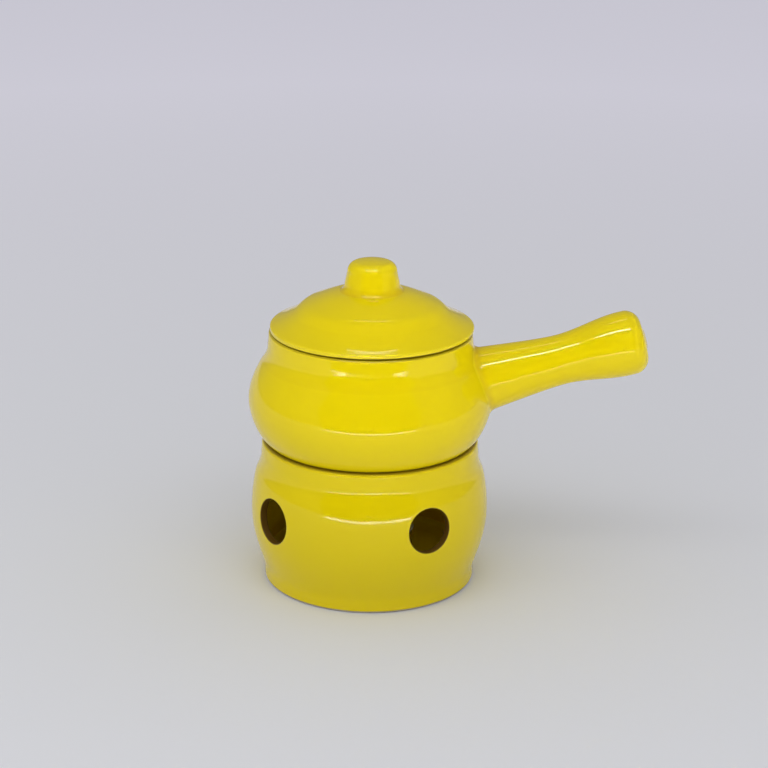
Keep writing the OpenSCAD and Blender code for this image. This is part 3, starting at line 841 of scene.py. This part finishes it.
def make_tab(tin):
    """The wick's stamped foot: a flat disc with a collar round the wick, pinched in four places."""
    wick_r, disc = WICK_D / 2 + 0.02, TAB_D / 2
    collar = wick_r + COLLAR_WALL
    low, face, top = CUP_FLOOR_Z, CUP_FLOOR_Z + TAB_T, CUP_FLOOR_Z + TAB_T + COLLAR_H
    profile = [
        *arc((disc - TAB_T / 2, low + TAB_T / 2), TAB_T / 2, -90, 90, 6),
        *straight((disc - 0.8, face), (collar + 1.2, face), 4),
        *curve((collar + 0.9, face), (collar + 0.3, face), (collar, face + 0.3), (collar, face + 1.0), 5),
        *straight((collar, face + 1.4), (collar - 0.05, top - 0.2), 3),
        (collar - 0.15, top), (wick_r + 0.1, top), (wick_r, top - 0.15),
        *straight((wick_r, top - 0.6), (wick_r, face), 3),
        (wick_r, low + 0.1), (wick_r + 0.1, low),
        *straight((wick_r + 1.0, low), (disc - 0.8, low), 4),
    ]
    points, loops = [], []
    for out, up in profile:
        pinch = COLLAR_PINCH if up > face + 0.9 and out > wick_r + 0.05 else 0
        pinched = [(s, out + pinch * cos(4 * s)) for s in even_turns(TAB_COLUMNS)]
        loops.append(add_ring(points, [(r * cos(s), r * sin(s), up) for s, r in pinched]))
    faces = skin_faces(loops + loops[:1])
    make_piece("wick_foot", points, faces, "tealight", "wick_tab", tin, 40)


# Finishes


def set_inputs(tree, node, links):
    """Links the node's inputs, or gives them values, by name or number."""
    for key, value in links.items():
        if isinstance(value, bpy.types.NodeSocket):
            tree.links.new(value, node.inputs[key])
        else:
            node.inputs[key].default_value = value


def add(tree, kind, links=None, **settings):
    node = tree.nodes.new("ShaderNode" + kind)
    for key, value in settings.items():
        setattr(node, key, value)
    set_inputs(tree, node, links or {})
    return node


def maths(tree, operation, a, b=None, c=None, clamp=False):
    values = {i: v for i, v in enumerate((a, b, c)) if v is not None}
    return add(tree, "Math", values, operation=operation, use_clamp=clamp).outputs[0]


def times(tree, a, b):
    return maths(tree, "MULTIPLY", a, b)


def noise(tree, place, size_mm, detail=2.0, rough=0.5):
    linked = isinstance(size_mm, bpy.types.NodeSocket)
    scale = maths(tree, "DIVIDE", 1 / MM, size_mm) if linked else 1 / MM / size_mm
    links = {"Vector": place, "Scale": scale, "Detail": detail, "Roughness": rough}
    return add(tree, "TexNoise", links).outputs["Fac"]


def ranged(tree, value, low, high, to_low=0.0, to_high=1.0):
    links = {"Value": value, "From Min": low, "From Max": high, "To Min": to_low, "To Max": to_high}
    return add(tree, "MapRange", links).outputs["Result"]


def blended(tree, share, a, b):
    return add(tree, "Mix", {0: share, 2: a, 3: b}).outputs[0]


def tinted(tree, share, a, b):
    a, b = ((*v, 1.0) if isinstance(v, tuple) else v for v in (a, b))
    return add(tree, "Mix", {0: share, 6: a, 7: b}, data_type="RGBA").outputs[2]


def object_place(tree):
    return add(tree, "TexCoord").outputs["Object"]


def stretched(tree, place, share):
    """The place, drawn out along the height so that a grain looks longer there."""
    return add(tree, "VectorMath", {0: place, 1: (1, 1, share)}, operation="MULTIPLY").outputs[0]


def new_group(name, inputs, output):
    """A group of nodes, its inputs inside it, and the node that takes its output."""
    group = bpy.data.node_groups.new(name, "ShaderNodeTree")
    kinds = {True: "NodeSocketColor", False: "NodeSocketFloat"}
    for label, value in inputs.items():
        coloured = isinstance(value, tuple)
        socket = group.interface.new_socket(label, in_out="INPUT", socket_type=kinds[coloured])
        socket.default_value = (*value, 1) if coloured else value
    group.interface.new_socket(output, in_out="OUTPUT", socket_type=kinds[output == "Colour"])
    return group, group.nodes.new("NodeGroupInput").outputs, group.nodes.new("NodeGroupOutput")


def glaze_coat_group():
    """Colour of a coat of glaze: thin on edges, pooled in hollows, and clouded a little."""
    group, i, out = new_group("glaze coat", {
        "Full": YELLOW, "Thin": YELLOW_THIN, "Pooled": YELLOW_POOLED,
        "Edge": 0.0, "Hollow": 0.0, "Cloud Size": 18.0, "Cloud": 0.2,
    }, "Colour")
    place = object_place(group)
    cloud = noise(group, place, i["Cloud Size"], 3.0)
    uneven = times(group, maths(group, "SUBTRACT", cloud, 0.5), i["Cloud"])
    broken = maths(group, "MULTIPLY_ADD", noise(group, place, 2.4), 0.5, 0.75)
    thin = maths(group, "MULTIPLY", i["Edge"], broken, clamp=True)
    thin = maths(group, "ADD", thin, uneven, clamp=True)
    pooled = maths(group, "SUBTRACT", i["Hollow"], uneven, clamp=True)
    colour = tinted(group, thin, i["Full"], i["Thin"])
    set_inputs(group, out, {"Colour": tinted(group, pooled, colour, i["Pooled"])})
    return group


def fired_skin_group():
    """Height of a fired or cast skin: a faint peel on slower waves."""
    group, i, out = new_group("fired skin", {
        "Peel Size": 1.3, "Peel Height": 0.3, "Wave Size": 14.0, "Wave Height": 1.0,
    }, "Height")
    place = object_place(group)
    peel = times(group, noise(group, place, i["Peel Size"], 1.0), i["Peel Height"])
    wave = times(group, noise(group, place, i["Wave Size"], 1.0), i["Wave Height"])
    set_inputs(group, out, {"Height": maths(group, "ADD", peel, wave)})
    return group


def speck_group():
    """Sparse small specks: pinholes in a glaze, dust on wax."""
    group, i, out = new_group("specks", {"Spacing": 5.0, "Size": 0.12, "Share": 0.3}, "Speck")
    scale = maths(group, "DIVIDE", 1 / MM, i["Spacing"])
    cells = add(group, "TexVoronoi", {"Vector": object_place(group), "Scale": scale}).outputs
    near = maths(group, "LESS_THAN", times(group, cells["Distance"], i["Spacing"]), i["Size"])
    pick = add(group, "SeparateColor", {"Color": cells["Color"]}).outputs["Red"]
    chosen = maths(group, "LESS_THAN", pick, i["Share"])
    set_inputs(group, out, {"Speck": times(group, near, chosen)})
    return group


def use_group(tree, group, **values):
    """The output of a group in use, with values for its inputs by their names."""
    links = {key.replace("_", " ").title(): value for key, value in values.items()}
    return add(tree, "Group", links, node_tree=group).outputs[0]


def new_material(name):
    material = bpy.data.materials.new(name)
    material.use_nodes = True
    tree = material.node_tree
    shader = next(n for n in tree.nodes if n.type == "BSDF_PRINCIPLED")
    return material, tree, shader


def mask(tree, name):
    return add(tree, "Attribute", attribute_name=name).outputs["Fac"]


def bump(tree, height, distance_mm):
    links = {"Height": height, "Distance": distance_mm * MM, "Strength": 1.0}
    return add(tree, "Bump", links).outputs["Normal"]


def yellow_glaze(name, bare_height=None):
    """Glossy yellow glaze on pale clay. Below bare_height the clay was wiped clean before firing."""
    material, tree, shader = new_material(name)
    place = object_place(tree)
    seam = mask(tree, "seam")
    specks = use_group(tree, SPECKS, spacing=6.0, size=0.13, share=0.25)
    coat = use_group(tree, GLAZE_COAT, edge=mask(tree, "edge"), hollow=mask(tree, "hollow"), cloud=0.25)
    pinhole = mix3(YELLOW_POOLED, PINHOLE_BROWN, 0.4)
    colour = tinted(tree, times(tree, specks, 0.6), coat, pinhole)
    # Painted shade: the seam mask turns the glaze brown in the gaps between parts, at the foot and in the
    # vents
    colour = tinted(tree, seam, colour, SHADE_BROWN)
    gloss = blended(tree, seam, ranged(tree, noise(tree, place, 22.0), 0.3, 0.7, 0.045, 0.085), 0.45)
    skin = use_group(tree, FIRED_SKIN, peel_size=1.6, peel_height=0.05, wave_size=16.0, wave_height=1.0)
    if bare_height is not None:
        up = add(tree, "SeparateXYZ", {"Vector": place}).outputs["Z"]
        ragged = ranged(tree, noise(tree, place, 5.0), 0.0, 1.0, -0.25 * MM, 0.25 * MM)
        level = maths(tree, "ADD", up, ragged)
        bare = ranged(tree, level, (bare_height + 0.12) * MM, (bare_height - 0.12) * MM)
        clay = noise(tree, place, 0.5, 4.0, 0.7)
        dark_clay = mix3(BARE_CLAY, BLACK, 0.25)
        clay_colour = tinted(tree, ranged(tree, clay, 0.3, 0.7), dark_clay, BARE_CLAY)
        colour = tinted(tree, bare, colour, clay_colour)
        gloss = blended(tree, bare, gloss, 0.75)
        skin = maths(tree, "ADD", skin, times(tree, times(tree, clay, bare), 0.6))
    skin = maths(tree, "SUBTRACT", skin, times(tree, specks, 0.25))
    set_inputs(tree, shader, {
        "Base Color": colour, "Roughness": gloss, "IOR": 1.5, "Specular IOR Level": 0.3,
        "Normal": bump(tree, skin, 0.12),
    })
    return material


def drawn_foil():
    material, tree, shader = new_material("drawn foil")
    place = object_place(tree)
    skin = use_group(tree, FIRED_SKIN, peel_size=0.5, peel_height=0.25, wave_size=4.0, wave_height=1.0)
    drawn = noise(tree, stretched(tree, place, 0.08), 0.35, 3.0, 0.6)
    set_inputs(tree, shader, {
        "Base Color": tinted(tree, noise(tree, place, 6.0), (0.82, 0.83, 0.84), (0.74, 0.75, 0.77)),
        "Roughness": ranged(tree, drawn, 0.25, 0.75, 0.24, 0.42), "Metallic": 1.0,
        "Normal": bump(tree, maths(tree, "MULTIPLY_ADD", drawn, 0.2, skin), 0.05),
    })
    return material


def candle_wax():
    material, tree, shader = new_material("candle wax")
    cloud = noise(tree, object_place(tree), 7.0, 4.0, 0.6)
    colour = tinted(tree, ranged(tree, cloud, 0.3, 0.7), (0.88, 0.86, 0.80), (0.94, 0.93, 0.89))
    specks = use_group(tree, SPECKS, spacing=3.0, size=0.1, share=0.2)
    skin = use_group(tree, FIRED_SKIN, peel_size=0.8, peel_height=0.3, wave_size=6.0, wave_height=1.2)
    set_inputs(tree, shader, {
        "Base Color": tinted(tree, times(tree, specks, 0.3), colour, (0.6, 0.57, 0.5)),
        "Roughness": ranged(tree, cloud, 0.3, 0.7, 0.36, 0.5), "Normal": bump(tree, skin, 0.1),
    })
    return material


def waxed_cotton():
    material, tree, shader = new_material("waxed cotton")
    fibre = noise(tree, stretched(tree, object_place(tree), 0.25), 0.12, 3.0, 0.6)
    share = ranged(tree, fibre, 0.3, 0.7)
    set_inputs(tree, shader, {
        "Base Color": tinted(tree, share, (0.74, 0.70, 0.60), (0.88, 0.85, 0.77)),
        "Roughness": ranged(tree, fibre, 0.3, 0.7, 0.7, 0.9), "Normal": bump(tree, fibre, 0.06),
    })
    return material


def tinned_sheet():
    material, tree, shader = new_material("tinned sheet")
    spangle = add(tree, "TexVoronoi", {"Vector": object_place(tree), "Scale": 1 / MM / 1.4})
    tone = add(tree, "SeparateColor", {"Color": spangle.outputs["Color"]}).outputs["Red"]
    skin = use_group(tree, FIRED_SKIN, peel_size=0.3, peel_height=0.2, wave_size=2.0, wave_height=0.6)
    set_inputs(tree, shader, {
        "Base Color": tinted(tree, tone, (0.66, 0.66, 0.65), (0.74, 0.74, 0.73)),
        "Roughness": ranged(tree, tone, 0.0, 1.0, 0.22, 0.38), "Metallic": 1.0,
        "Normal": bump(tree, skin, 0.03),
    })
    return material


# Studio


def seen_directly(tree):
    """1 where a surface is looked at, straight or in a gloss or a glass, and 0 where it only lights."""
    path = add(tree, "LightPath").outputs
    seen = maths(tree, "MAXIMUM", path["Is Camera Ray"], path["Is Glossy Ray"])
    return maths(tree, "MAXIMUM", seen, path["Is Transmission Ray"])


def make_floor():
    """A round sheet of pale paper, brighter away from the set."""
    reach_mm = 6000
    mesh = bpy.data.meshes.new("floor")
    around = [(reach_mm * MM * cos(t), reach_mm * MM * sin(t), 0) for t in even_turns(96)]
    mesh.from_pydata(around, [], [tuple(range(96))])
    material, tree, shader = new_material("floor paper")
    place = object_place(tree)
    far = add(tree, "VectorMath", {0: place}, operation="LENGTH").outputs["Value"]
    far = ranged(tree, far, 50 * MM, 1100 * MM)
    paper = tinted(tree, far, FLOOR, mix3(FLOOR, WHITE, 0.9))
    cloud = times(tree, noise(tree, place, 900.0), 0.06)
    set_inputs(tree, shader, {
        "Base Color": tinted(tree, cloud, paper, FLOOR_CLOUD),
        "Emission Color": tinted(tree, far, BLACK, FAR_GLOW),
        "Emission Strength": seen_directly(tree),
        "Roughness": 0.85, "Specular IOR Level": 0.0,
    })
    add_object("floor", mesh, material)


def make_world(light):
    world = bpy.data.worlds.new("studio")
    world.use_nodes = True
    tree = world.node_tree
    tree.nodes.clear()
    backdrop = add(tree, "Background", {"Color": (*BACKDROP, 1), "Strength": 1.0}).outputs[0]
    fill = add(tree, "Background", {"Color": (*WHITE, 1), "Strength": light}).outputs[0]
    both = add(tree, "MixShader", {0: seen_directly(tree), 1: fill, 2: backdrop}).outputs[0]
    add(tree, "OutputWorld", {"Surface": both})
    bpy.context.scene.world = world


def add_lamp(name, place_mm, aim_mm, size_mm, brightness, spread=180.0):
    """A flat soft lamp. Brightness is that of its face, where 1 is white."""
    lamp = bpy.data.lights.new(name, "AREA")
    lamp.shape = "RECTANGLE"
    lamp.size, lamp.size_y = size_mm[0] * MM, size_mm[1] * MM
    lamp.energy = brightness * pi * lamp.size * lamp.size_y
    lamp.spread = radians(spread)
    back = np.subtract(place_mm, aim_mm) / math.dist(place_mm, aim_mm)
    side = np.cross([0.0, 0.0, 1.0], back)
    side /= np.linalg.norm(side)
    holder = add_object(name, lamp)
    stand_at(holder, place_mm, side, np.cross(back, side), back)
    holder.visible_camera = holder.visible_glossy = False


def add_card(name, pairs, colour):
    """A card that only the gloss shows, such as the dark open front of the photographer's tent.

    Its corners are given as pairs, left and right, from one end of the card to the other.
    """
    corners = [tuple(v * MM for v in corner) for pair in pairs for corner in pair]
    mesh = bpy.data.meshes.new(name)
    mesh.from_pydata(corners, [], [(i, i + 1, i + 3, i + 2) for i in range(0, len(corners) - 2, 2)])
    material, tree, shader = new_material(name)
    tree.nodes.remove(shader)
    glow = add(tree, "Emission", {"Color": (*colour, 1), "Strength": 1.0}).outputs[0]
    out = next(n for n in tree.nodes if n.type == "OUTPUT_MATERIAL")
    set_inputs(tree, out, {"Surface": glow})
    card = add_object(name, mesh, material)
    card.visible_camera = card.visible_diffuse = card.visible_shadow = False
    card.visible_transmission = card.visible_volume_scatter = False


def across(half_width, y, z):
    return (-half_width, y, z), (half_width, y, z)


def make_studio():
    make_floor()
    make_world(0.51)
    low, middle = (700, 600), (0, 0, 60)
    add_lamp("top lamp", (0, -50, 1100), (0, 0, 0), (1200, 1200), 0.1)
    add_lamp("front top lamp", (0, -800, 900), middle, (900, 700), 0.45)
    add_lamp("left lamp", (-1000, -300, 450), middle, (900, 900), 0.37)
    add_lamp("front left lamp", (-750, -750, 300), middle, low, 0.15)
    add_lamp("front right lamp", (750, -750, 300), middle, low, 0.1)
    add_lamp("long lamp", (-60, -460, 858), middle, (1300, 260), 1.4)
    add_lamp("front lamp", (0, -1000, 290), (0, 0, 290), (900, 460), 0.22, 7.0)
    add_lamp("right lamp", (800, -600, 270), (0, 0, 270), (500, 460), 0.14, 9.0)
    make_tent(1500)
    make_open_front()


def make_tent(reach):
    cloth = (0.22, 0.22, 0.24)
    corners = ((-reach, 0), (-reach, reach), (reach, reach), (reach, 0))
    add_card("tent", [across(reach, y, z) for y, z in corners], cloth)
    for name, x in (("tent left", -reach), ("tent right", reach)):
        add_card(name, [((x, -reach, z), (x, reach, z)) for z in (0, reach)], cloth)


def make_open_front():
    """The tent's dark opening round the camera, the bright cloth at its edges, and a seam overhead."""
    dark, lip, top_edge, seam = (0.006,) * 3, (15.0,) * 3, (34.0,) * 3, (6.0,) * 3
    bottom, widest = across(345, -400, 25), across(463, -400, 280)
    add_card("open front", [bottom, widest, across(420, -400, 600), across(230, -245, 600)], dark)
    add_card("front lip", [across(345, -401, 16), across(345, -401, 25)], lip)
    add_card("front top edge", [across(225, -245, 600), across(215, -210, 600)], top_edge)
    add_card("back seam", [across(95, 163, 600), across(95, 183, 600)], seam)


GLAZE_COAT, FIRED_SKIN, SPECKS = glaze_coat_group(), fired_skin_group(), speck_group()

make_camera()
make_studio()

plain_glaze = yellow_glaze("yellow glaze")
make_stand(yellow_glaze("yellow glaze, stand", 0.9))
make_bowl(yellow_glaze("yellow glaze, pot", POT_FOOT_Z + 0.9))
make_handle(plain_glaze)
make_lid(plain_glaze)
make_knob(plain_glaze)
make_cup(drawn_foil())
make_wax(candle_wax())
make_wick(waxed_cotton())
make_tab(tinned_sheet())

scene = bpy.context.scene
scene.view_settings.view_transform = "Standard"
